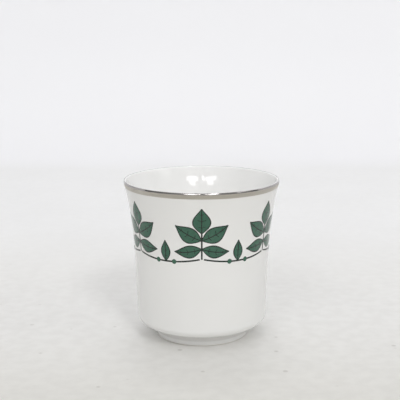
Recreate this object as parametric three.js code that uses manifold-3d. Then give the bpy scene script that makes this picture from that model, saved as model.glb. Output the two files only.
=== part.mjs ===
// A porcelain sake cup: a straight-sided, flared cup on a turned foot ring, with a metal line
// fired over its lip and a band of enamel sprigs and berry swags fired on its wall.
// Millimetres. +Z is up, the origin is the middle of the foot's bearing face, the front is -Y.
import * as THREE from "three";
import { mergeVertices } from "three/addons/utils/BufferGeometryUtils.js";
import Module from "manifold-3d";

// Porcelain body. Angles are in degrees.
const MOUTH_DIAMETER = 60; // outermost, at the lip
const CUP_HEIGHT = 61.6; // table to the crest of the lip
const WALL = 2.4; // thickness of the straight wall
const LIP_THICKNESS = 1.1; // the wall thins to it up the flare, and it ends in a full round
const WALL_DRAFT = 2; // lean of the straight wall
const FLARE_DROP = 30; // crest of the lip down to where the wall begins to flare
const HEEL_DIAMETER = 50.4; // where the lines of the wall and the underside meet
const HEEL_RADIUS = 3.4;
const UNDERSIDE_RISE = 12.5; // from the foot out to the heel
const FLOOR = 2.2; // from the underside's level at the foot to the inside
const INNER_CORNER_RADIUS = 7;

// Foot ring.
const FOOT_DIAMETER = 36.2; // outside, at the table
const FOOT_HEIGHT = 4.2; // table to the underside beside the ring
const FOOT_WIDTH = 2.8; // across the bearing face and its rounded edges
const FOOT_DRAFT = 6; // lean of both sides of the ring
const FOOT_EDGE_RADIUS = 0.6;
const FOOT_COVE_RADIUS = 1.3;
const RECESS_DEPTH = 3; // table to the base inside the ring
const RECESS_COVE_RADIUS = 1.2;

// Metal line over the lip.
const RIM_LINE_TAIL = 1.6; // how far it runs down the wall below the lip's round
const RIM_LINE_WRAP = 8; // how far past the crest it runs, round the lip
const RIM_LINE_THICKNESS = 0.12;
const RIM_LINE_CLEARANCE = 0.08;

// Enamel band. Flat sizes, along the wall and up from the feet of the stalks.
const BAND_DROP = 25.2; // crest of the lip down to the feet of the stalks
const SPRIGS = 6;
const STALK_LENGTH = 10.4;
const LINE_WIDTH = 0.6;
const UPPER_PAIR_DROP = 3.2; // top of the stalk down to the upper leaves
const LOWER_PAIR_DROP = 6.4; // top of the stalk down to the lower leaves
const TOP_LEAF = { heading: 90, length: 9.6, width: 6.8, curl: 0 };
const UPPER_LEAF = { heading: 30, length: 11.2, width: 6.2, curl: -1.3 };
const LOWER_LEAF = { heading: -7, length: 10.6, width: 5, curl: -1.2 };
const BUD_LEAF = { heading: 90, length: 8, width: 4.2, curl: 0 };
const SWAG_SAG = 1.3; // how far a swag hangs below the stalks' feet
const SWAG_END_GAP = 0.5; // from a swag's end to the stalk beside it
const BERRY_DIAMETER = 1.9;
const BERRY_REACH = 3.5; // from the bud to the berry on each side of it

// Lifts of the enamels off the glaze, underside and top: lines lap leaves, and berries lap lines.
const LEAF_ENAMEL = { under: 0.14, top: 0.26 };
const LINE_ENAMEL = { under: 0.11, top: 0.3 };
const BERRY_ENAMEL = { under: 0.08, top: 0.36 };

// Facets.
const TURN_SEGMENTS = 60;
const CORNER_STEPS = 3;
const LIP_STEPS = 8;
const FLARE_STEPS = 7;
const RIM_TAIL_STEPS = 1;
const LEAF_ROWS = 8;
const STALK_ROWS = 3;
const SWAG_ROWS = 11;
const BERRY_ROWS = 5;

const wasm = await Module();
wasm.setup();

const { degToRad } = THREE.MathUtils;
const point = (x, y) => new THREE.Vector2(x, y);

// The wall's construction: a straight draft from the heel, then a flare up to the lip's full round.
const draft = degToRad(WALL_DRAFT);
const footLean = Math.tan(degToRad(FOOT_DRAFT));
const footTop = point(FOOT_DIAMETER / 2 + FOOT_HEIGHT * footLean, FOOT_HEIGHT);
const heelRise = (HEEL_DIAMETER / 2 - footTop.x) * Math.tan(degToRad(UNDERSIDE_RISE));
const heel = point(HEEL_DIAMETER / 2, FOOT_HEIGHT + heelRise);
const lipRadius = LIP_THICKNESS / 2;
const lipCentre = point(MOUTH_DIAMETER / 2 - lipRadius, CUP_HEIGHT - lipRadius);
const flareHeight = CUP_HEIGHT - FLARE_DROP;
const flareStart = point(heel.x + (flareHeight - heel.y) * Math.tan(draft), flareHeight);
const wallNormal = point(Math.cos(draft), -Math.sin(draft));
const insideStart = flareStart.clone().addScaledVector(wallNormal, -WALL);

// The one arc that leaves the straight wall smoothly at its start and meets the lip's round smoothly,
// on the outer side of the round (1) or on its inner side (-1).
function flareTo(side, start) {
  const toStart = start.clone().sub(lipCentre);
  const nearer = side * lipRadius - wallNormal.dot(toStart);
  const radius = (toStart.lengthSq() - lipRadius ** 2) / (2 * nearer);
  const centre = start.clone().addScaledVector(wallNormal, radius);
  const turn = Math.sign(radius); // negative where the mouth is drawn in
  const to = lipCentre.clone().sub(centre).multiplyScalar(turn).angle();
  return { centre, radius, turn, from: Math.PI - draft, to };
}
const outerFlare = flareTo(1, flareStart);
const innerFlare = flareTo(-1, insideStart);
const lipJoinAngle = outerFlare.to - Math.PI;

// Radius of the glazed outside at a height between the heel and the lip.
function outerRadius(height) {
  if (height < flareHeight) {
    return heel.x + (height - heel.y) * Math.tan(draft);
  }
  const { centre, radius, turn } = outerFlare;
  return centre.x - turn * Math.sqrt(radius ** 2 - (height - centre.y) ** 2);
}

// Points of an arc about a centre, from one angle to another.
function arc(centre, radius, from, to, steps) {
  return new THREE.ArcCurve(centre.x, centre.y, radius, from, to, to < from).getPoints(steps);
}

// The round that touches both sides of a profile's corner and takes up at most half of each.
function roundedCorner(before, corner, after, radius) {
  const back = before.clone().sub(corner);
  const ahead = after.clone().sub(corner);
  const half = back.angleTo(ahead) / 2;
  const reach = Math.min(radius / Math.tan(half), back.length() / 2, ahead.length() / 2);
  const inward = back.clone().normalize().add(ahead.clone().normalize()).normalize();
  const centre = corner.clone().addScaledVector(inward, reach / Math.cos(half));
  const start = corner.clone().add(back.clone().setLength(reach)).sub(centre).angle();
  const sweep = (Math.PI - 2 * half) * Math.sign(ahead.cross(back));
  return arc(centre, reach * Math.tan(half), start, start + sweep, CORNER_STEPS);
}

// A profile through corners, each [point, radius]; its two ends stay sharp.
function roundedPath(start, corners, end) {
  const stops = [start, ...corners.map(([at]) => at), end];
  const rounds = corners.map(([at, radius], i) => roundedCorner(stops[i], at, stops[i + 2], radius));
  return [start, ...rounds.flat(), end];
}

// Turns a profile of radius and height about the cup's axis.
function turned(profile) {
  return new THREE.LatheGeometry(profile, TURN_SEGMENTS).rotateX(Math.PI / 2);
}

// The fired body: recess, foot ring, underside, heel, wall, lip, inside and floor in one profile.
function cupBody() {
  const ringInside = FOOT_DIAMETER / 2 - FOOT_WIDTH;
  const floorHeight = FOOT_HEIGHT + FLOOR;
  const insideFoot = insideStart.x - (insideStart.y - floorHeight) * Math.tan(draft);
  const underside = roundedPath(
    point(0, RECESS_DEPTH),
    [
      [point(ringInside - RECESS_DEPTH * footLean, RECESS_DEPTH), RECESS_COVE_RADIUS],
      [point(ringInside, 0), FOOT_EDGE_RADIUS],
      [point(FOOT_DIAMETER / 2, 0), FOOT_EDGE_RADIUS],
      [footTop, FOOT_COVE_RADIUS],
      [heel, HEEL_RADIUS],
    ],
    flareStart,
  );
  const { centre, radius, from, to } = outerFlare;
  const flare = arc(centre, radius, from, to, FLARE_STEPS);
  const lip = arc(lipCentre, lipRadius, lipJoinAngle, innerFlare.to, LIP_STEPS);
  const inside = arc(innerFlare.centre, innerFlare.radius, innerFlare.to, innerFlare.from, FLARE_STEPS);
  const bowl = roundedPath(
    insideStart,
    [[point(insideFoot, floorHeight), INNER_CORNER_RADIUS]],
    point(0, floorHeight),
  );
  return turned([underside, flare, lip, inside, bowl].flatMap((run, i) => (i ? run.slice(1) : run)));
}

// The metal line: a skin that follows the lip's outer half and the wall just below it.
function rimLine() {
  const crest = Math.PI / 2 + degToRad(RIM_LINE_WRAP);
  const { centre, radius, to } = outerFlare;
  const tailEnd = to + RIM_LINE_TAIL / radius;
  const skin = (lift) => {
    const round = arc(lipCentre, lipRadius + lift, crest, lipJoinAngle, LIP_STEPS);
    const tail = arc(centre, radius - lift, to, tailEnd, RIM_TAIL_STEPS);
    return [...round, ...tail.slice(1)];
  };
  const under = skin(RIM_LINE_CLEARANCE);
  const top = skin(RIM_LINE_CLEARANCE + RIM_LINE_THICKNESS);
  return turned([...under, ...top.reverse(), under[0]]);
}

// A place on the wall: along runs to the right round the front, up is from the feet of the stalks.
const bandFoot = CUP_HEIGHT - BAND_DROP;
const bandRadius = outerRadius(bandFoot + STALK_LENGTH);
function onWall(along, up, lift) {
  const turn = along / bandRadius - Math.PI / 2;
  const radius = outerRadius(bandFoot + up) + lift;
  return [radius * Math.cos(turn), radius * Math.sin(turn), bandFoot + up];
}

// A closed enamel shape laid on the wall. Each row crosses a flat curve at half a width each way,
// three points on the underside and three on the top, and the rows join into a closed strip.
function enamel(curve, halfWidth, rows, { under, top }) {
  const ring = [
    ...[-1, 0, 1].map((side) => [side, under]),
    ...[1, 0, -1].map((side) => [side, top]),
  ];
  const positions = [];
  for (let row = 0; row < rows; row++) {
    const t = row / (rows - 1);
    const middle = curve.getPoint(t);
    const ahead = curve.getTangent(t);
    for (const [side, lift] of ring) {
      const offset = side * halfWidth(t);
      positions.push(...onWall(middle.x - ahead.y * offset, middle.y + ahead.x * offset, lift));
    }
  }
  const index = [];
  const quad = (a, b, c, d) => index.push(a, b, c, a, c, d);
  for (let row = 0; row + 1 < rows; row++) {
    const here = row * ring.length;
    const next = here + ring.length;
    for (let i = 0; i < ring.length; i++) {
      const j = (i + 1) % ring.length;
      quad(here + i, here + j, next + j, next + i);
    }
  }
  const last = (rows - 1) * ring.length;
  for (const side of [0, 1]) {
    const above = ring.length - 1 - side;
    quad(side, above, above - 1, side + 1);
    quad(last + side, last + side + 1, last + above - 1, last + above);
  }
  const geometry = new THREE.BufferGeometry();
  geometry.setAttribute("position", new THREE.Float32BufferAttribute(positions, 3));
  return geometry.setIndex(index);
}

// A pointed oval leaf on a narrow neck. It grows from the middle of a line, at a height up.
function leaf({ heading, length, width, curl }, up, side = 1) {
  const turn = degToRad(heading);
  const along = (reach, aside) =>
    point(
      side * (reach * Math.cos(turn) - aside * Math.sin(turn)),
      up + reach * Math.sin(turn) + aside * Math.cos(turn),
    );
  const midrib = new THREE.QuadraticBezierCurve(along(0, 0), along(length / 2, curl), along(length, 0));
  const neck = LINE_WIDTH / 3;
  const blade = (t) => Math.max(Math.sin(Math.PI * t ** 0.85), 0) ** 1.2;
  return enamel(midrib, (t) => neck + (width / 2 - neck) * blade(t), LEAF_ROWS, LEAF_ENAMEL);
}

function line(curve, rows) {
  return enamel(curve, () => LINE_WIDTH / 2, rows, LINE_ENAMEL);
}

function berry({ x, y }) {
  const radius = BERRY_DIAMETER / 2;
  const across = new THREE.LineCurve(point(x - radius, y), point(x + radius, y));
  const round = (t) => Math.max(Math.sqrt(1 - (2 * t - 1) ** 2), 1 / 3) * radius;
  return enamel(across, round, BERRY_ROWS, BERRY_ENAMEL);
}

// Fuses enamels that lap each other into one closed shape.
function fused(geometries) {
  const solids = geometries.map((geometry) => {
    const merged = mergeVertices(geometry);
    return new wasm.Manifold(
      new wasm.Mesh({
        numProp: 3,
        vertProperties: merged.getAttribute("position").array,
        triVerts: new Uint32Array(merged.index.array),
      }),
    );
  });
  const mesh = solids.reduce((whole, solid) => whole.add(solid)).getMesh();
  const geometry = new THREE.BufferGeometry();
  geometry.setAttribute("position", new THREE.BufferAttribute(mesh.vertProperties, 3));
  return geometry.setIndex(new THREE.BufferAttribute(mesh.triVerts, 1));
}

// An upright sprig: a stalk, a leaf at its top and two pairs of side leaves.
function sprig() {
  const stalk = new THREE.LineCurve(point(0, 0), point(0, STALK_LENGTH));
  const sides = [1, -1].flatMap((side) => [
    leaf(UPPER_LEAF, STALK_LENGTH - UPPER_PAIR_DROP, side),
    leaf(LOWER_LEAF, STALK_LENGTH - LOWER_PAIR_DROP, side),
  ]);
  return fused([line(stalk, STALK_ROWS), leaf(TOP_LEAF, STALK_LENGTH - LINE_WIDTH), ...sides]);
}

// A swag that hangs between two stalks, with a bud at its middle and a berry on each side of it.
function swag() {
  const halfSpan = (Math.PI * bandRadius) / SPRIGS - LINE_WIDTH / 2 - SWAG_END_GAP;
  const ends = [point(-halfSpan, 0), point(halfSpan, 0)];
  const curve = new THREE.QuadraticBezierCurve(ends[0], point(0, -2 * SWAG_SAG), ends[1]);
  const place = (along) => curve.getPoint((along / halfSpan + 1) / 2);
  return fused([
    line(curve, SWAG_ROWS),
    leaf(BUD_LEAF, place(0).y),
    berry(place(-BERRY_REACH)),
    berry(place(BERRY_REACH)),
  ]);
}

const porcelain = new THREE.MeshStandardMaterial({ color: 0xf0f0ec, roughness: 0.12 });
const platinum = new THREE.MeshStandardMaterial({ color: 0xbab4ab, roughness: 0.28, metalness: 1 });
const leafEnamel = new THREE.MeshStandardMaterial({ color: 0x3a6250, roughness: 0.25 });
const lineEnamel = new THREE.MeshStandardMaterial({ color: 0x3d4a44, roughness: 0.25 });

function piece(name, geometry, material) {
  geometry.computeVertexNormals();
  const mesh = new THREE.Mesh(geometry, material);
  mesh.name = name;
  return mesh;
}

const cup = new THREE.Group();
cup.add(piece("cup_body", cupBody(), porcelain));
cup.add(piece("rim_line", rimLine(), platinum));
const pitch = (2 * Math.PI) / SPRIGS;
for (let i = 0; i < SPRIGS; i++) {
  const sprigPlace = new THREE.Group();
  sprigPlace.rotation.z = i * pitch;
  sprigPlace.add(piece(`leaf_sprig_${i + 1}`, sprig(), leafEnamel));
  const swagPlace = new THREE.Group();
  swagPlace.rotation.z = (i + 0.5) * pitch;
  swagPlace.add(piece(`berry_swag_${i + 1}`, swag(), lineEnamel));
  cup.add(sprigPlace, swagPlace);
}

export default cup;
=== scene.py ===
# %% [markdown]
# # A porcelain sake cup, made in Blender
# The cup is one fired body with a platinum line over its lip and a band of green enamel
# sprigs on its wall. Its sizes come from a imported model, which is loaded first and stays
# where it is. Each cell below makes one piece or one finish of the cup and says why that
# way of making it was chosen.

# %% Load the model that the looks are built around
import math

import bmesh
import bpy
from mathutils import Matrix, Vector


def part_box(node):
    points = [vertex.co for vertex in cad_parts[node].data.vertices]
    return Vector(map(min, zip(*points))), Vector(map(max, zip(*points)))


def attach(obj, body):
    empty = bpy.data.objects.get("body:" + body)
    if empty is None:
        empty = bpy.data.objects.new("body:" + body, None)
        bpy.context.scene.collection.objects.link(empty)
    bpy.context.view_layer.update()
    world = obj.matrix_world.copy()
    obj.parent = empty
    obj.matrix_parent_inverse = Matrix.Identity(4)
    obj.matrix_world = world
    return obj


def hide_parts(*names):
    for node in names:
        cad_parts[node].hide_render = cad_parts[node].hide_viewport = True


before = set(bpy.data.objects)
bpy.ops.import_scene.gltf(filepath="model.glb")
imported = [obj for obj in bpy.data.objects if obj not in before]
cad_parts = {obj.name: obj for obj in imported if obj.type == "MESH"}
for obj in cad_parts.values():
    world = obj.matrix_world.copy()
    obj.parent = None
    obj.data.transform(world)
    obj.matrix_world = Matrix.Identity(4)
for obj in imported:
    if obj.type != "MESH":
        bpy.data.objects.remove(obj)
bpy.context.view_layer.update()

# %% [markdown]
# ## Sizes
# Blender works in metres, and a cup is easier to think about in millimetres, so MM turns one
# into the other. The mouth and the height are read from the model's own box. The smaller
# sizes are those that a potter would set: the wall, the draft that lets the cup leave its
# mould, the height where the wall starts to flare, and the foot ring.

# %% Sizes of the body
MM = 0.001
body_low, body_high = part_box("cup_body")
MOUTH_RADIUS = body_high.x
CUP_HEIGHT = body_high.z
WALL = 2.4 * MM
LIP_RADIUS = 0.55 * MM
WALL_DRAFT = math.radians(2)
FLARE_DROP = 30 * MM
HEEL_RADIUS = 25.2 * MM
UNDERSIDE_RISE = math.radians(12.5)
FLOOR = 2.2 * MM
FOOT_RADIUS = 18.1 * MM
FOOT_HEIGHT = 4.2 * MM
FOOT_WIDTH = 2.8 * MM
FOOT_LEAN = math.tan(math.radians(6))
RECESS_DEPTH = 3.0 * MM
print(f"mouth {2 * MOUTH_RADIUS / MM:.1f} mm, height {CUP_HEIGHT / MM:.1f} mm")

# %% [markdown]
# ## The wall as a formula
# A straight wall leans out a little, then one long arc carries it into the round of the lip.
# The arc has to leave the straight wall smoothly and meet the lip's circle smoothly, and only
# one circle does both. Its radius follows from the distance between the arc's start and the
# lip's centre. The inside has an arc of its own, so that the wall thins towards the lip. The
# enamel needs the same wall later, so the radius at any height is a function.

# %% The flare's circles and the wall's radius at a height
lip_centre = Vector((MOUTH_RADIUS - LIP_RADIUS, 0, CUP_HEIGHT - LIP_RADIUS))
foot_top = Vector((FOOT_RADIUS + FOOT_HEIGHT * FOOT_LEAN, 0, FOOT_HEIGHT))
heel_rise = (HEEL_RADIUS - foot_top.x) * math.tan(UNDERSIDE_RISE)
heel = Vector((HEEL_RADIUS, 0, FOOT_HEIGHT + heel_rise))
FLARE_HEIGHT = CUP_HEIGHT - FLARE_DROP
flare_reach = (FLARE_HEIGHT - heel.z) * math.tan(WALL_DRAFT)
flare_start = Vector((heel.x + flare_reach, 0, FLARE_HEIGHT))
wall_normal = Vector((math.cos(WALL_DRAFT), 0, -math.sin(WALL_DRAFT)))
inside_start = flare_start - wall_normal * WALL


def flare_to(side, start):
    """Centre, radius and sweep of the arc to the lip's outer side (1) or inner side (-1)."""
    to_start = start - lip_centre
    nearer = side * LIP_RADIUS - wall_normal.dot(to_start)
    radius = (to_start.length_squared - LIP_RADIUS**2) / (2 * nearer)
    centre = start + wall_normal * radius
    return centre, radius, (start - centre).angle(lip_centre - centre)


flare_centre, FLARE_RADIUS, flare_sweep = flare_to(1, flare_start)
inside_centre, INSIDE_RADIUS, inside_sweep = flare_to(-1, inside_start)


def wall_radius(height):
    """Radius of the glazed outside at a height between the heel and the lip."""
    if height < FLARE_HEIGHT:
        return heel.x + (height - heel.z) * math.tan(WALL_DRAFT)
    return flare_centre.x - math.sqrt(FLARE_RADIUS**2 - (height - flare_centre.z) ** 2)


print(f"flare radius {FLARE_RADIUS / MM:.0f} mm outside and {INSIDE_RADIUS / MM:.0f} mm inside")

# %% [markdown]
# ## Camera
# The picture was taken from a little above the cup with a longish lens. Fitting the ellipses
# of the rim, the heel and the foot gave the camera's place, its tilt and its lens.

# %% Camera
CAMERA_PLACE = Vector((-0.58 * MM, -339.8 * MM, 123.35 * MM))
CAMERA_TILT = math.radians(90 - 11.68)
CAMERA_ROLL = math.radians(-0.23)
camera_data = bpy.data.cameras.new("camera")
camera_data.lens = 80.43
camera_data.sensor_width = 36
camera_data.clip_start = 0.01
camera = bpy.data.objects.new("camera", camera_data)
camera.matrix_world = (
    Matrix.Translation(CAMERA_PLACE)
    @ Matrix.Rotation(CAMERA_TILT, 4, "X")
    @ Matrix.Rotation(CAMERA_ROLL, 4, "Z")
)
bpy.context.scene.collection.objects.link(camera)
bpy.context.scene.camera = camera
print("camera", tuple(camera.location))

# %% [markdown]
# ## Making a piece
# Every piece of the cup ends the same way, so a helper keeps the lines together. Points that
# lie on each other are merged first, because faces can be turned outwards only where they are
# joined. The bmesh then becomes an object at the origin with smooth shading, broken at true
# corners. It rides on the cup's one body, takes its materials, and hides the solid of the
# model that it stands for.


# %% Helper that turns a bmesh into a finished piece
CREASE = math.radians(40)
WELD = 0.0001 * MM


def finish_piece(bm, name, materials, node):
    bmesh.ops.remove_doubles(bm, verts=bm.verts, dist=WELD)
    bmesh.ops.recalc_face_normals(bm, faces=bm.faces)
    mesh = bpy.data.meshes.new(name)
    for face in bm.faces:
        face.smooth = True
    bm.to_mesh(mesh)
    bm.free()
    mesh.set_sharp_from_angle(angle=CREASE)
    for material in materials:
        mesh.materials.append(material)
    piece = bpy.data.objects.new(name, mesh)
    bpy.context.scene.collection.objects.link(piece)
    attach(piece, "root")
    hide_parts(node)
    print(name, len(mesh.vertices), "vertices", len(mesh.polygons), "faces")


# %% [markdown]
# ## Shader helpers
# A material is a small machine of nodes. These helpers add a node, set its inputs by name and
# link outputs to inputs, so that each material below reads as a list of what it does. The one
# used most is span, a smooth step from one value to another.


# %% Helpers for node trees
def add(tree, kind, **settings):
    node = tree.nodes.new(kind)
    for key, value in settings.items():
        setattr(node, key, value)
    return node


def feed(tree, source, target, socket):
    """Links a socket, or sets a plain value, into a named input."""
    if isinstance(source, bpy.types.NodeSocket):
        tree.links.new(source, target.inputs[socket])
    else:
        target.inputs[socket].default_value = source


def math_node(tree, operation, *values):
    node = add(tree, "ShaderNodeMath", operation=operation)
    for i, value in enumerate(values):
        feed(tree, value, node, i)
    return node.outputs[0]


def span(tree, value, low, high, to_low=0.0, to_high=1.0):
    """A smooth step: to_low below low, to_high above high."""
    node = add(tree, "ShaderNodeMapRange", interpolation_type="SMOOTHSTEP")
    for socket, number in (
        ("Value", value),
        ("From Min", low),
        ("From Max", high),
        ("To Min", to_low),
        ("To Max", to_high),
    ):
        feed(tree, number, node, socket)
    return node.outputs["Result"]


def own_place(tree):
    """Where a point lies on its piece, in the piece's own coordinates."""
    return add(tree, "ShaderNodeTexCoord").outputs["Object"]


def split(tree, place):
    node = add(tree, "ShaderNodeSeparateXYZ")
    feed(tree, place, node, "Vector")
    return node.outputs


# %% [markdown]
# ## Fired surface, a shared group
# Glaze and enamel both run a little in the kiln. Close to, the surface has a soft ripple a few
# millimetres long, faint clouds of colour, and now and then a tiny dark speck where a grain of
# iron came through. One group makes all three from the object's own coordinates, and each
# material sets how large and how strong they are. The specks are the cores of random cells,
# of which only a small share is kept.

# %% Group for the fired surface
FLOAT = "NodeSocketFloat"
SURFACE_INPUTS = {
    "Cloud Size": 10 * MM,
    "Ripple Size": 4 * MM,
    "Speck Size": 3 * MM,
    "Speck Share": 0.03,
    "Speck Reach": 0.06,
}
SURFACE_OUTPUTS = ("Cloud", "Ripple", "Speck")


def fired_surface_group():
    tree = bpy.data.node_groups.new("fired surface", "ShaderNodeTree")
    for name, value in SURFACE_INPUTS.items():
        tree.interface.new_socket(name, in_out="INPUT", socket_type=FLOAT).default_value = value
    for name in SURFACE_OUTPUTS:
        tree.interface.new_socket(name, in_out="OUTPUT", socket_type=FLOAT)
    given = add(tree, "NodeGroupInput").outputs
    result = add(tree, "NodeGroupOutput")
    place = own_place(tree)

    def noise(size, detail):
        node = add(tree, "ShaderNodeTexNoise")
        feed(tree, place, node, "Vector")
        feed(tree, math_node(tree, "DIVIDE", 1.0, size), node, "Scale")
        feed(tree, detail, node, "Detail")
        return node.outputs["Fac"]

    cells = add(tree, "ShaderNodeTexVoronoi")
    feed(tree, place, cells, "Vector")
    feed(tree, math_node(tree, "DIVIDE", 1.0, given["Speck Size"]), cells, "Scale")
    chance = add(tree, "ShaderNodeSeparateColor")
    feed(tree, cells.outputs["Color"], chance, "Color")
    kept = math_node(tree, "LESS_THAN", chance.outputs["Red"], given["Speck Share"])
    core = math_node(tree, "MULTIPLY", given["Speck Reach"], 0.5)
    spot = span(tree, cells.outputs["Distance"], core, given["Speck Reach"], 1.0, 0.0)
    feed(tree, noise(given["Cloud Size"], 3.0), result, "Cloud")
    feed(tree, noise(given["Ripple Size"], 2.0), result, "Ripple")
    feed(tree, math_node(tree, "MULTIPLY", kept, spot), result, "Speck")
    return tree


fired_surface = fired_surface_group()
print("group", fired_surface.name, "with outputs", SURFACE_OUTPUTS)

# %% [markdown]
# ## Starting a material
# Four more helpers serve the materials: one starts a material, one blends two colours, one
# places the shared group with its own values, and one lets a value raise and lower the surface
# for the light. Such a bump changes no outline, which suits a ripple a few hundredths of a
# millimetre deep.


# %% Helpers for materials
def new_material(name):
    """An empty material with a Principled shader: the material, its tree and the shader."""
    material = bpy.data.materials.new(name)
    material.use_nodes = True
    tree = material.node_tree
    return material, tree, tree.nodes["Principled BSDF"]


def blend(tree, share, first, second):
    node = add(tree, "ShaderNodeMix", data_type="RGBA")
    feed(tree, share, node, "Factor")
    feed(tree, first, node, "A")
    feed(tree, second, node, "B")
    return node.outputs["Result"]


def use_surface(tree, **values):
    node = add(tree, "ShaderNodeGroup", node_tree=fired_surface)
    for socket, value in values.items():
        feed(tree, value, node, socket.replace("_", " "))
    return node.outputs


def add_bump(tree, shader, height, strength, depth):
    bump = add(tree, "ShaderNodeBump")
    feed(tree, strength, bump, "Strength")
    feed(tree, depth, bump, "Distance")
    feed(tree, height, bump, "Height")
    feed(tree, bump.outputs["Normal"], shader, "Normal")


# %% [markdown]
# ## Porcelain
# White clay under a clear, glossy glaze. A value on the points of the mesh, named inside,
# tells the shader which side of the wall a point is on. It is one glaze, but the inside is
# painted a touch lighter and the outside a touch greyer: painted light and shade for the
# brighter inside. The glaze gathers in the corner above the foot, and that corner is painted
# darker, partly for the pooled glaze and partly as painted shade under the heel. The glaze is
# wiped off the ring that the cup stands on, because it would stick to the kiln shelf. That
# bare ring is rough and slightly creamy, and the height of a point is enough to find it.

# %% Porcelain material
# The two glaze tones are painted light and shade: the inside lighter, the outside greyer.
GLAZE_INSIDE_PAINTED_LIGHT = (0.935, 0.933, 0.922, 1)
GLAZE_OUTSIDE_PAINTED_SHADE = (0.862, 0.86, 0.848, 1)
GLAZE_CLOUD = (0.82, 0.82, 0.795, 1)
CLOUD_SHARE = 0.2
GLAZE_ROUGHNESS = (0.02, 0.05)
# The pool colour is painted shade in the corner under the heel, partly pooled glaze.
POOL_PAINTED_SHADE = (0.68, 0.67, 0.65, 1)
POOL_SHADE_SHARE = 0.65
POOL_SHADE_FROM = (0.38 * FOOT_HEIGHT, 0.52 * FOOT_HEIGHT)
POOL_SHADE_UNTIL = (FOOT_HEIGHT + 0.4 * MM, FOOT_HEIGHT + 1.6 * MM)
SPECK_BROWN = (0.34, 0.29, 0.23, 1)
BARE_CLAY = (0.80, 0.775, 0.735, 1)
BARE_ROUGHNESS = 0.75
BARE_UNTIL = (0.5 * MM, 0.75 * MM)
WIPE_WOBBLE = 0.3 * MM


def porcelain_material():
    material, tree, shader = new_material("porcelain")
    surface = use_surface(tree, Cloud_Size=14 * MM, Ripple_Size=5 * MM, Speck_Share=0.003)
    height = split(tree, own_place(tree))["Z"]
    wiped = math_node(tree, "MULTIPLY_ADD", surface["Ripple"], WIPE_WOBBLE, height)
    bare = span(tree, wiped, *BARE_UNTIL, 1.0, 0.0)
    above = span(tree, height, *POOL_SHADE_FROM, 0.0, POOL_SHADE_SHARE)
    pool_and_shade = math_node(tree, "MULTIPLY", above, span(tree, height, *POOL_SHADE_UNTIL, 1.0, 0.0))
    inside = add(tree, "ShaderNodeAttribute", attribute_name="inside").outputs["Fac"]
    clouds = span(tree, surface["Cloud"], 0.35, 0.75, 0.0, CLOUD_SHARE)
    # Painted light and shade: the inside of the wall gets a lighter tone than the outside.
    colour = blend(tree, inside, GLAZE_OUTSIDE_PAINTED_SHADE, GLAZE_INSIDE_PAINTED_LIGHT)
    colour = blend(tree, clouds, colour, GLAZE_CLOUD)
    # Painted shade: the corner above the foot is darkened, partly for pooled glaze.
    colour = blend(tree, pool_and_shade, colour, POOL_PAINTED_SHADE)
    colour = blend(tree, surface["Speck"], colour, SPECK_BROWN)
    feed(tree, blend(tree, bare, colour, BARE_CLAY), shader, "Base Color")
    gloss = span(tree, surface["Cloud"], 0.3, 0.8, *GLAZE_ROUGHNESS)
    rough = math_node(tree, "MULTIPLY", bare, BARE_ROUGHNESS)
    feed(tree, math_node(tree, "MAXIMUM", gloss, rough), shader, "Roughness")
    add_bump(tree, shader, surface["Ripple"], 0.05, 0.2 * MM)
    return material


porcelain = porcelain_material()
print("material", porcelain.name)

# %% [markdown]
# ## Platinum
# The line is liquid platinum, banded on with a brush while the cup turns, so its streaks run
# round the cup. Noise that is stretched flat, many times finer in height than round the cup,
# makes them. The metal is a warm grey satin, a little thin in places. Metal shows what is
# around it, so the band under the lip is light: it faces the paper. The lip's own face is
# rubbed smooth by lips and cloths and is nearly a mirror: it shows the dim side of the room,
# with a glint where it meets a lamp. Its colour is also painted darker, a painted shade that
# deepens that dark line.

# %% Platinum material
PLATINUM = (0.54, 0.51, 0.463, 1)
PLATINUM_THIN = (0.58, 0.555, 0.51, 1)
# Painted shade: the lip's face is painted darker so that it reads as a dark line.
PLATINUM_FACE_PAINTED_SHADE = (0.405, 0.388, 0.382, 1)
STREAKS_PER_METRE = (90, 90, 9000)
SATIN_ROUGHNESS = (0.38, 0.5)
RUBBED_SMOOTH = 0.22
LIP_FACE_FROM = (CUP_HEIGHT - 0.8 * MM, CUP_HEIGHT - 0.55 * MM)


def platinum_material():
    material, tree, shader = new_material("platinum")
    place = own_place(tree)
    stretched = add(tree, "ShaderNodeMapping")
    feed(tree, place, stretched, "Vector")
    feed(tree, STREAKS_PER_METRE, stretched, "Scale")
    noise = add(tree, "ShaderNodeTexNoise")
    feed(tree, stretched.outputs["Vector"], noise, "Vector")
    feed(tree, 1.0, noise, "Scale")
    feed(tree, 3.0, noise, "Detail")
    streaks = noise.outputs["Fac"]
    surface = use_surface(tree, Cloud_Size=6 * MM, Ripple_Size=1.5 * MM)
    thin = span(tree, surface["Cloud"], 0.5, 0.75)
    rubbed_and_shaded = span(tree, split(tree, place)["Z"], *LIP_FACE_FROM)
    colour = blend(tree, thin, PLATINUM, PLATINUM_THIN)
    # Painted shade: the lip's face takes the darker colour.
    feed(tree, blend(tree, rubbed_and_shaded, colour, PLATINUM_FACE_PAINTED_SHADE), shader, "Base Color")
    feed(tree, 1.0, shader, "Metallic")
    satin = span(tree, streaks, 0.3, 0.7, *SATIN_ROUGHNESS)
    smoothed = span(tree, rubbed_and_shaded, 0.0, 1.0, 1.0, RUBBED_SMOOTH)
    feed(tree, math_node(tree, "MULTIPLY", satin, smoothed), shader, "Roughness")
    add_bump(tree, shader, streaks, 0.1, 0.05 * MM)
    return material


platinum = platinum_material()
print("material", platinum.name)

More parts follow.
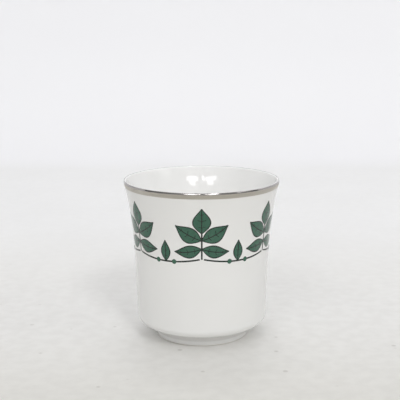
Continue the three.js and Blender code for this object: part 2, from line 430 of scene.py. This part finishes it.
# %% [markdown]
# ## Enamels
# Two overglaze enamels make the band: a bottle green for the leaves, and a near-black green for
# outlines, veins and stalks. Enamel is coloured glass, so it is glossy. Where the wall turns
# away from the eye it mirrors the pale paper, and the leaves look paler there. It isn't quite
# even: the green varies over a millimetre or two, and the skin is less smooth than the glaze.

# %% Enamel materials
LEAF_GREEN = (0.034, 0.114, 0.072, 1)
LEAF_GREEN_PALE = (0.044, 0.13, 0.086, 1)
LEAF_ROUGHNESS = (0.06, 0.14)
LINE_DARK = (0.006, 0.013, 0.01, 1)
LINE_PALE = (0.016, 0.028, 0.022, 1)
LINE_ROUGHNESS = (0.08, 0.18)


def enamel_material(name, deep, pale, roughness):
    material, tree, shader = new_material(name)
    surface = use_surface(tree, Cloud_Size=2.5 * MM, Ripple_Size=0.5 * MM)
    share = span(tree, surface["Cloud"], 0.3, 0.75)
    feed(tree, blend(tree, share, deep, pale), shader, "Base Color")
    feed(tree, span(tree, surface["Ripple"], 0.2, 0.8, *roughness), shader, "Roughness")
    add_bump(tree, shader, surface["Ripple"], 0.12, 0.03 * MM)
    return material


leaf_enamel = enamel_material("leaf enamel", LEAF_GREEN, LEAF_GREEN_PALE, LEAF_ROUGHNESS)
line_enamel = enamel_material("line enamel", LINE_DARK, LINE_PALE, LINE_ROUGHNESS)
print("materials", leaf_enamel.name, line_enamel.name)

# %% [markdown]
# ## Drawing a section
# The body and its metal line are both turned, so each needs half of a section. A section is a
# chain of points. Spinning a single point about a centre draws an arc. A vertex bevel rounds
# a corner: its offset is how far the round reaches along each side, which follows from the
# radius and the corner's angle. Last, spinning the whole section about the axis turns the piece.

# %% Helpers for turned pieces
TURN_STEPS = 192
ARC_AXIS = (0, 1, 0)


def add_point(bm, last, place):
    vert = bm.verts.new(place)
    if last:
        bm.edges.new((last, vert))
    return vert


def add_arc(bm, last, centre, angle, steps):
    """Carries a section on from its last point, round a centre, and returns the new last point."""
    made = bmesh.ops.spin(bm, geom=[last], cent=centre, axis=ARC_AXIS, angle=angle, steps=steps)
    return next(item for item in made["geom_last"] if isinstance(item, bmesh.types.BMVert))


def round_corner(bm, corner, radius, segments):
    """Rounds a corner of a section to a radius."""
    sides = [(edge.other_vert(corner).co - corner.co).normalized() for edge in corner.link_edges]
    reach = radius / math.tan(sides[0].angle(sides[1]) / 2)
    bmesh.ops.bevel(
        bm,
        geom=[corner],
        offset=reach,
        offset_type="OFFSET",
        affect="VERTICES",
        segments=segments,
        profile=0.5,
        material=-1,
    )


def turn(bm):
    bmesh.ops.spin(
        bm,
        geom=bm.verts[:] + bm.edges[:],
        cent=(0, 0, 0),
        axis=(0, 0, 1),
        angle=math.tau,
        steps=TURN_STEPS,
        use_merge=True,
    )


# %% [markdown]
# ## The body
# A potter makes the cup by turning, and so does this cell. The section runs from the middle of
# the base, down and up round the foot ring, out to the heel, up the wall, over the lip and
# down to the middle of the floor inside. Corners are drawn sharp and rounded afterwards, so
# each round is one number. The points inside the cup are marked at the end, for the glaze.

# %% Body
RECESS_COVE = 1.2 * MM
FOOT_EDGE = 0.6 * MM
FOOT_COVE = 1.3 * MM
HEEL_ROUND = 3.4 * MM
INSIDE_CORNER = 7.0 * MM
FLARE_STEPS = 28
LIP_STEPS = 20


def cup_body():
    bm = bmesh.new()
    floor_height = FOOT_HEIGHT + FLOOR
    ring_inside = FOOT_RADIUS - FOOT_WIDTH
    inside_foot = inside_start.x - (inside_start.z - floor_height) * math.tan(WALL_DRAFT)
    centre = add_point(bm, None, (0, 0, RECESS_DEPTH))
    recess = add_point(bm, centre, (ring_inside - RECESS_DEPTH * FOOT_LEAN, 0, RECESS_DEPTH))
    ring_in = add_point(bm, recess, (ring_inside, 0, 0))
    ring_out = add_point(bm, ring_in, (FOOT_RADIUS, 0, 0))
    cove = add_point(bm, ring_out, foot_top)
    heel_point = add_point(bm, cove, heel)
    last = add_point(bm, heel_point, flare_start)
    last = add_arc(bm, last, flare_centre, flare_sweep, FLARE_STEPS)
    last = add_arc(bm, last, lip_centre, inside_sweep - flare_sweep - math.pi, LIP_STEPS)
    last = add_arc(bm, last, inside_centre, -inside_sweep, FLARE_STEPS)
    corner = add_point(bm, last, (inside_foot, 0, floor_height))
    add_point(bm, corner, (0, 0, floor_height))
    for point, radius, segments in (
        (recess, RECESS_COVE, 6),
        (ring_in, FOOT_EDGE, 6),
        (ring_out, FOOT_EDGE, 6),
        (cove, FOOT_COVE, 8),
        (heel_point, HEEL_ROUND, 12),
        (corner, INSIDE_CORNER, 16),
    ):
        round_corner(bm, point, radius, segments)
    turn(bm)
    inside = bm.verts.layers.float.new("inside")
    for vert in bm.verts:
        behind_wall = math.hypot(vert.co.x, vert.co.y) < wall_radius(vert.co.z) - LIP_RADIUS
        vert[inside] = float(behind_wall and vert.co.z > floor_height - 0.1 * MM)
    finish_piece(bm, "cup_porcelain", [porcelain], "cup_body")


cup_body()

# %% [markdown]
# ## The platinum line
# The line is a skin over the outer side of the lip and the first bit of wall below it. Below
# the glaze its section follows the lip's round. Above, it is a hair proud of the glaze and has
# a narrow flat face that tilts up, which is what makes a thin dark line with two glints instead
# of a grey smear. Two lines that touch the same circle meet at a corner halfway between their
# angles, so the face's two corners need no more than that. A brush leaves the lower edge a
# little uneven, so the points near it are moved up and down by slow waves round the cup.

# %% Platinum line
LINE_TAIL = 1.6 * MM
LINE_START = math.radians(70)
LINE_PROUD = 0.05 * MM
LINE_SUNK = 0.03 * MM
TAIL_STEPS = 8
FACE_TILT = math.radians(16)
FACE_TOP_ROUND = 0.16 * MM
FACE_FOOT_ROUND = 0.2 * MM
EDGE_WAVE = 0.09 * MM
crest_angle = math.pi / 2
wall_angle = -WALL_DRAFT - flare_sweep


def lip_point(angle, radius):
    return lip_centre + Vector((math.cos(angle), 0, math.sin(angle))) * radius


def lip_corner(first, second, radius):
    """Where the two lines that touch the lip's circle at two angles meet."""
    return lip_point((first + second) / 2, radius / math.cos((first - second) / 2))


def rim_line():
    bm = bmesh.new()
    tail_angle = LINE_TAIL / FLARE_RADIUS
    sunk = LIP_RADIUS - LINE_SUNK
    inner_start = add_point(bm, None, lip_point(LINE_START, sunk))
    last = add_arc(bm, inner_start, lip_centre, LINE_START - wall_angle, LIP_STEPS)
    inner_end = add_arc(bm, last, flare_centre, -tail_angle, TAIL_STEPS)
    proud = LIP_RADIUS + LINE_PROUD
    outer_start = add_point(bm, inner_start, lip_point(LINE_START, proud))
    face_top = add_point(bm, outer_start, lip_corner(crest_angle, FACE_TILT, proud))
    face_foot = add_point(bm, face_top, lip_corner(FACE_TILT, wall_angle, proud))
    last = add_point(bm, face_foot, lip_point(wall_angle, proud))
    outer_end = add_arc(bm, last, flare_centre, -tail_angle, TAIL_STEPS)
    bm.edges.new((outer_end, inner_end))
    round_corner(bm, face_top, FACE_TOP_ROUND, 6)
    round_corner(bm, face_foot, FACE_FOOT_ROUND, 4)
    turn(bm)
    waves_from = CUP_HEIGHT - 2 * LIP_RADIUS - 0.4 * LINE_TAIL
    for vert in bm.verts:
        near = max(0.0, (waves_from - vert.co.z) / LINE_TAIL)
        angle = math.atan2(vert.co.y, vert.co.x)
        vert.co.z += EDGE_WAVE * near * (math.sin(3 * angle + 0.7) + 0.6 * math.sin(11 * angle))
    finish_piece(bm, "rim_platinum", [platinum], "rim_line")


rim_line()

# %% [markdown]
# ## Laying enamel on the wall
# The sprigs are drawn flat, along and up, as on a transfer sheet, and then wrapped on the
# cup. One function takes a flat point and its lift to the wall, so every enamel shape can be
# made as a plain flat grid first, and moved to the wall at the end.

# %% Wrap from the flat sheet to the wall
SPRIGS = 6
BAND_DROP = 25.2 * MM
BAND_FOOT = CUP_HEIGHT - BAND_DROP
STALK_LENGTH = 10.4 * MM
BAND_RADIUS = wall_radius(BAND_FOOT + STALK_LENGTH)
PITCH = math.tau / SPRIGS


def on_wall(along, up, lift, turned):
    angle = along / BAND_RADIUS - math.pi / 2 + turned
    radius = wall_radius(BAND_FOOT + up) + lift
    return Vector((radius * math.cos(angle), radius * math.sin(angle), BAND_FOOT + up))


def wrap(bm, turned):
    for vert in bm.verts:
        vert.co = on_wall(*vert.co, turned)


print(f"band radius {BAND_RADIUS / MM:.2f} mm, pitch {math.degrees(PITCH):.0f} degrees")

# %% [markdown]
# ## A leaf
# A leaf starts as a grid. Its columns run along the leaf and its rows cross it, and each
# point is moved to its place on the blade: columns spread to the outline, and rows lean
# forward like side veins. A column at each edge and one in the middle keep the width of a pen
# line and take the dark enamel, and so does one narrow row in every few, short of the edge.
# The outline, midrib and veins are then part of the mesh and stay sharp at any distance.

# %% Columns, rows and outline of a leaf
FILL_COLUMNS = 4
LEAF_COLUMNS = 2 * FILL_COLUMNS + 3
DARK_COLUMNS = (0, FILL_COLUMNS + 1, LEAF_COLUMNS - 1)
VEIN_COLUMNS = range(3, LEAF_COLUMNS - 3)
VEINS = 4
VEIN_ROWS = (0, 0.18, 0.36, 0.54, 0.72, 0.91)
LEAF_ROWS = VEINS * len(VEIN_ROWS)
OUTLINE = 0.42 * MM
MIDRIB = 0.36 * MM
LINE_WIDTH = 0.6 * MM
NECK = LINE_WIDTH / 3


def half_width(share, width):
    """Half of a leaf's width at a share of its length: a narrow neck, then a pointed blade."""
    blade = max(math.sin(math.pi * min(share, 1) ** 0.85), 0) ** 1.2
    return NECK + (width / 2 - NECK) * blade


def column_place(edge, half):
    """Distance from the middle of a leaf, where its half width is half, to a column's edge."""
    from_rib = abs(edge - LEAF_COLUMNS / 2) - 0.5
    if from_rib > FILL_COLUMNS:
        distance = half
    else:
        rib = min(MIDRIB / 2, 0.3 * half)
        inner = max(half - OUTLINE, 0.5 * half)
        distance = rib + (inner - rib) * from_rib / FILL_COLUMNS
    return math.copysign(distance, edge - LEAF_COLUMNS / 2)


def is_dark(face):
    """Whether a face of the unshaped grid, from -1 to 1 each way, is outline, midrib or vein."""
    middle = face.calc_center_median()
    column = int((middle.x + 1) / 2 * LEAF_COLUMNS)
    row = int((middle.y + 1) / 2 * LEAF_ROWS) % len(VEIN_ROWS)
    vein = row == len(VEIN_ROWS) - 1 and column in VEIN_COLUMNS
    return vein or column in DARK_COLUMNS


print(f"a leaf has {LEAF_COLUMNS} columns and {LEAF_ROWS} rows")

# %% [markdown]
# ## Leaf, line and thickness
# A leaf grows from its foot in a heading, along a gentle curl. Its middle stands a little
# higher than its edge, as a drop of enamel does. A line is a narrow grid that follows a curve.
# Both are flat sheets until solidify gives them a back, which lies just below the glaze, so
# that no gap shows at the edge.

# %% Leaves and lines as flat enamel
VEIN_LEAN = 0.13
LEAF_LIFT = 0.05 * MM
LINE_LIFT = 0.07 * MM
ENAMEL_SUNK = 0.04 * MM


def faces_of(verts):
    return {face for vert in verts for face in vert.link_faces}


def add_leaf(bm, shape, foot, side=1):
    """Adds one flat leaf that grows from a foot, with its dark lines in material slot 1."""
    made = bmesh.ops.create_grid(bm, x_segments=LEAF_COLUMNS, y_segments=LEAF_ROWS, size=1)
    faces = faces_of(made["verts"])
    for face in faces:
        face.material_index = int(is_dark(face))
    heading = math.radians(shape["heading"])
    ahead = Vector((math.cos(heading), math.sin(heading)))
    leftward = Vector((-ahead.y, ahead.x))
    for vert in made["verts"]:
        across = vert.co.x
        cell, row = divmod(round((vert.co.y + 1) / 2 * LEAF_ROWS), len(VEIN_ROWS))
        share = (cell + VEIN_ROWS[row]) / VEINS
        share += VEIN_LEAN * abs(across) * math.sin(math.pi * share)
        column_edge = round((across + 1) / 2 * LEAF_COLUMNS)
        aside = column_place(column_edge, half_width(share, shape["width"] * MM))
        aside += 2 * share * (1 - share) * shape["curl"] * MM
        place = foot + ahead * share * shape["length"] * MM + leftward * aside
        vert.co = Vector((side * place.x, place.y, LEAF_LIFT * (1 - 0.6 * across**6)))
    return faces


def add_line(bm, curve, rows):
    """Adds a flat line of an even width along a curve given as a function of a share."""
    made = bmesh.ops.create_grid(bm, x_segments=4, y_segments=rows, size=1)
    for vert in made["verts"]:
        across = vert.co.x
        share = (vert.co.y + 1) / 2
        step = curve(share + 0.001) - curve(share - 0.001)
        aside = Vector((step.y, -step.x)).normalized() * across * LINE_WIDTH / 2
        place = curve(share) + aside
        vert.co = Vector((place.x, place.y, LINE_LIFT * (1 - 0.5 * across**4)))
    faces = faces_of(made["verts"])
    for face in faces:
        face.material_index = 1
    return faces


def thicken(bm, faces):
    """Gives flat enamel its depth, down to just below the glaze."""
    bmesh.ops.recalc_face_normals(bm, faces=list(faces))
    for face in faces:
        if face.normal.z < 0:
            face.normal_flip()
    bmesh.ops.solidify(bm, geom=list(faces), thickness=LEAF_LIFT + ENAMEL_SUNK)


# %% [markdown]
# ## The sprigs
# Six sprigs stand round the cup, one of them facing the camera. Each is a stalk, a leaf at
# its top and two pairs of side leaves, the right one of a pair being the mirror image of the
# left. A leaf's sizes are in millimetres and its heading in degrees.

# %% Sprigs
TOP_LEAF = {"heading": 90, "length": 9.6, "width": 6.8, "curl": 0}
UPPER_LEAF = {"heading": 30, "length": 11.2, "width": 6.2, "curl": -1.3}
LOWER_LEAF = {"heading": -7, "length": 10.6, "width": 5.0, "curl": -1.2}
UPPER_PAIR_DROP = 3.2 * MM
LOWER_PAIR_DROP = 6.4 * MM
ENAMELS = [leaf_enamel, line_enamel]


def sprig(number):
    bm = bmesh.new()
    faces = add_leaf(bm, TOP_LEAF, Vector((0, STALK_LENGTH - LINE_WIDTH)))
    for side in (1, -1):
        faces |= add_leaf(bm, UPPER_LEAF, Vector((0, STALK_LENGTH - UPPER_PAIR_DROP)), side)
        faces |= add_leaf(bm, LOWER_LEAF, Vector((0, STALK_LENGTH - LOWER_PAIR_DROP)), side)
    faces |= add_line(bm, lambda share: Vector((0, share * STALK_LENGTH)), 12)
    thicken(bm, faces)
    wrap(bm, (number - 1) * PITCH)
    finish_piece(bm, f"sprig_enamel_{number}", ENAMELS, f"leaf_sprig_{number}")


for number in range(1, SPRIGS + 1):
    sprig(number)

# %% [markdown]
# ## The swags
# Between two sprigs hangs a thin line with a bud at its middle and a berry on each side of
# the bud. A berry is a small ball, pressed nearly flat, as a drop of enamel would lie.

# %% Swags
BUD_LEAF = {"heading": 90, "length": 8, "width": 4.2, "curl": 0}
SWAG_SAG = 1.3 * MM
SWAG_END_GAP = 0.5 * MM
BERRY_RADIUS = 0.95 * MM
BERRY_REACH = 3.5 * MM
BERRY_LIFT = 0.14 * MM
half_span = math.pi * BAND_RADIUS / SPRIGS - LINE_WIDTH / 2 - SWAG_END_GAP


def swag_curve(share):
    return Vector(((2 * share - 1) * half_span, -4 * SWAG_SAG * share * (1 - share)))


def swag(number):
    bm = bmesh.new()
    faces = add_line(bm, swag_curve, 48)
    faces |= add_leaf(bm, BUD_LEAF, swag_curve(0.5))
    thicken(bm, faces)
    pressed = Matrix.Diagonal((1, 1, BERRY_LIFT / BERRY_RADIUS, 1))
    for side in (-1, 1):
        place = swag_curve((side * BERRY_REACH / half_span + 1) / 2)
        where = Matrix.Translation((place.x, place.y, 0)) @ pressed
        bmesh.ops.create_icosphere(bm, subdivisions=3, radius=BERRY_RADIUS, matrix=where)
    wrap(bm, (number - 0.5) * PITCH)
    finish_piece(bm, f"swag_enamel_{number}", ENAMELS, f"berry_swag_{number}")


for number in range(1, SPRIGS + 1):
    swag(number)

# %% [markdown]
# ## Paper
# The cup stands on pale paper. Its tone is painted from a warm grey in front to a cool white
# behind: painted shade in front and painted light behind. Nearer than the view it is pale
# again, since the metal line mirrors that part. The mottling and the few specks of handmade
# paper come from the same group as the glaze, and fade with distance. The backdrop also glows
# faintly, but only for rays from the camera and from mirroring surfaces, so the glow is seen
# and hardly lights anything.

# %% Paper material
# The near and far tones are painted shade and painted light on the paper.
PAPER_NEAR_PAINTED_SHADE = (0.645, 0.63, 0.572, 1)
PAPER_MIDDLE = (0.86, 0.855, 0.838, 1)
PAPER_FAR_PAINTED_LIGHT = (0.912, 0.912, 0.912, 1)
PAPER_BACK = (0.9, 0.9, 0.915, 1)
PAPER_FLECK = (0.36, 0.34, 0.31, 1)
FRONT_UNTIL = (-0.4, -0.2)
MIDDLE_FROM = (-0.16, 0.03)
FAR_FROM = (0.07, 0.2)
BACK_FROM = (0.37, 0.44)
MOTTLING = (0.09, 0.03)
MOTTLING_FADES = (0.0, 0.15)
SPECKLING = (0.35, 0.05)
SPECKLING_FADES = (-0.03, 0.06)
PATCHES = 0.03
BACK_GLOW = (0.03, 0.03, 0.033, 1)


def seen_and_mirrored(tree):
    """Masks for rays that come from the camera, and for rays from metal, glaze or glass."""
    path = add(tree, "ShaderNodeLightPath").outputs
    mirrored = math_node(tree, "MAXIMUM", path["Is Glossy Ray"], path["Is Transmission Ray"])
    return path["Is Camera Ray"], mirrored


def paper_material():
    material, tree, shader = new_material("paper")
    surface = use_surface(
        tree,
        Cloud_Size=5 * MM,
        Ripple_Size=60 * MM,
        Speck_Size=9 * MM,
        Speck_Share=0.3,
        Speck_Reach=0.14,
    )
    depth = split(tree, own_place(tree))["Y"]
    in_front = span(tree, depth, *FRONT_UNTIL, 1.0, 0.0)
    pale = math_node(tree, "MAXIMUM", span(tree, depth, *MIDDLE_FROM), in_front)
    behind = span(tree, depth, *BACK_FROM)
    # Painted shade in front, painted light behind: the paper's tone follows depth.
    colour = blend(tree, pale, PAPER_NEAR_PAINTED_SHADE, PAPER_MIDDLE)
    colour = blend(tree, span(tree, depth, *FAR_FROM), colour, PAPER_FAR_PAINTED_LIGHT)
    mottling = span(tree, depth, *MOTTLING_FADES, *MOTTLING)
    mottled = span(tree, surface["Cloud"], 0.3, 0.7, 0.0, mottling)
    patchy = span(tree, surface["Ripple"], 0.3, 0.7, 0.0, PATCHES)
    speckling = span(tree, depth, *SPECKLING_FADES, *SPECKLING)
    specks = math_node(tree, "MULTIPLY", surface["Speck"], speckling)
    flecks = math_node(tree, "ADD", math_node(tree, "ADD", mottled, patchy), specks)
    colour = blend(tree, flecks, colour, PAPER_FLECK)
    feed(tree, blend(tree, behind, colour, PAPER_BACK), shader, "Base Color")
    feed(tree, 0.5, shader, "Roughness")
    feed(tree, 0.4, shader, "Specular IOR Level")
    shown = math_node(tree, "MAXIMUM", *seen_and_mirrored(tree))
    glow = math_node(tree, "MULTIPLY", shown, behind)
    feed(tree, blend(tree, glow, (0, 0, 0, 1), BACK_GLOW), shader, "Emission Color")
    feed(tree, 1.0, shader, "Emission Strength")
    return material


paper = paper_material()
print("material", paper.name)

# %% [markdown]
# ## Sweep
# A photographer lays the paper as a sweep: a floor that curves up into a backdrop well behind
# the cup, so that no edge shows. It is drawn as one line, bevelled at its corner, and extruded
# sideways.

# %% Paper sweep
SWEEP_BACK = 0.62
SWEEP_FRONT = -1.2
SWEEP_TOP = 1.2
SWEEP_BEND = 0.22
SWEEP_HALF_WIDTH = 1.5


def paper_sweep():
    bm = bmesh.new()
    front = add_point(bm, None, (-SWEEP_HALF_WIDTH, SWEEP_FRONT, 0))
    corner = add_point(bm, front, (-SWEEP_HALF_WIDTH, SWEEP_BACK, 0))
    add_point(bm, corner, (-SWEEP_HALF_WIDTH, SWEEP_BACK, SWEEP_TOP))
    round_corner(bm, corner, SWEEP_BEND, 24)
    made = bmesh.ops.extrude_edge_only(bm, edges=bm.edges[:])
    moved = [item for item in made["geom"] if isinstance(item, bmesh.types.BMVert)]
    bmesh.ops.translate(bm, verts=moved, vec=(2 * SWEEP_HALF_WIDTH, 0, 0))
    bmesh.ops.recalc_face_normals(bm, faces=bm.faces)
    mesh = bpy.data.meshes.new("paper_sweep")
    for face in bm.faces:
        face.smooth = True
    bm.to_mesh(mesh)
    bm.free()
    mesh.materials.append(paper)
    sweep = bpy.data.objects.new("paper_sweep", mesh)
    bpy.context.scene.collection.objects.link(sweep)
    print("paper sweep", len(mesh.polygons), "faces")


paper_sweep()

# %% [markdown]
# ## Lamps
# Two lamps stand behind the camera, left and right of it, and their images are the two bright
# spots on the inside of the cup. Each is a wide strip over a narrow one, so that its image
# narrows downwards, and a small one between them adds a dot. Above them stand two key lights,
# the right one stronger, and the edges of the two shadows behind the cup gave their angles. A
# wide panel at either side lights the edges of the wall and opens the shadow under the heel,
# and a lamp above the backdrop lays a faint shadow in front. Lamps are placed by their angles
# about the cup, since a lamp's image and its shadow follow the angle far more than the
# distance, and they stand well away so that the paper is lit evenly.

# %% Lamps
AIM = Vector((0, 0, 0.5 * CUP_HEIGHT))


def lamp(name, azimuth, elevation, distance, size, watts):
    """A soft box that faces the cup: azimuth 0 is the camera's side and 90 is the right."""
    round_cup = Matrix.Rotation(math.radians(azimuth), 3, "Z")
    raised = Matrix.Rotation(-math.radians(elevation), 3, "X")
    toward = round_cup @ raised @ Vector((0, -1, 0))
    data = bpy.data.lights.new(name, "AREA")
    data.shape = "RECTANGLE"
    data.size, data.size_y = size
    data.energy = watts
    made = bpy.data.objects.new(name, data)
    made.location = AIM + toward * distance
    made.rotation_euler = (-toward).to_track_quat("-Z", "Y").to_euler()
    bpy.context.scene.collection.objects.link(made)
    print(f"{name} at azimuth {azimuth}, elevation {elevation}")


for name, azimuth in (("lamp_left", -15.5), ("lamp_right", 15.5)):
    lamp(name, azimuth, 21.3, 2.4, (0.8, 0.1), 1.7)
    lamp(f"{name}_low", azimuth, 19, 2.4, (0.4, 0.1), 0.9)
lamp("lamp_between", -3.2, 21.5, 2.4, (0.08, 0.1), 0.35)
lamp("key_left", -24, 40, 2.4, (0.6, 0.6), 5.1)
lamp("key_right", 21, 40, 2.4, (0.45, 0.45), 11.4)
lamp("panel_left", -75, 42, 2.2, (2.0, 1.0), 4.6)
lamp("panel_right", 80, 30, 2.2, (2.0, 0.8), 6.6)
lamp("lamp_behind", 180, 65, 1.5, (0.6, 0.6), 3.6)

# %% [markdown]
# ## Room
# The rest is the light of a room, mostly from its ceiling and some from the camera's side: it
# is brightest overhead and fades out at the horizon. Past the paper's edge the camera sees a
# pale room, which lights nothing. Mirroring surfaces show it too, but only behind the cup, so
# that the lip keeps the dark line that it has from the dim side of the room.

# %% Room light
CEILING_LIGHT = 0.51
FRONT_LIGHT = 0.31
ROOM_SEEN = 0.86


def room_light():
    world = bpy.data.worlds.new("room light")
    world.use_nodes = True
    tree = world.node_tree
    ray = split(tree, add(tree, "ShaderNodeTexCoord").outputs["Generated"])
    above = math_node(tree, "MAXIMUM", ray["Z"], 0.0)
    toward_camera = math_node(tree, "MINIMUM", ray["Y"], 0.0)
    from_front = math_node(tree, "MULTIPLY", toward_camera, -FRONT_LIGHT)
    strength = math_node(tree, "MULTIPLY_ADD", above, CEILING_LIGHT, from_front)
    seen, mirrored = seen_and_mirrored(tree)
    behind = math_node(tree, "GREATER_THAN", ray["Y"], 0.0)
    mirrored_behind = math_node(tree, "MULTIPLY", mirrored, behind)
    shown = add(tree, "ShaderNodeMix")
    feed(tree, math_node(tree, "MAXIMUM", seen, mirrored_behind), shown, "Factor")
    feed(tree, strength, shown, "A")
    feed(tree, ROOM_SEEN, shown, "B")
    sky = tree.nodes["Background"]
    feed(tree, (1, 1, 1, 1), sky, "Color")
    feed(tree, shown.outputs["Result"], sky, "Strength")
    bpy.context.scene.world = world
    print("world", world.name)


room_light()
bpy.context.scene.view_settings.view_transform = "Standard"
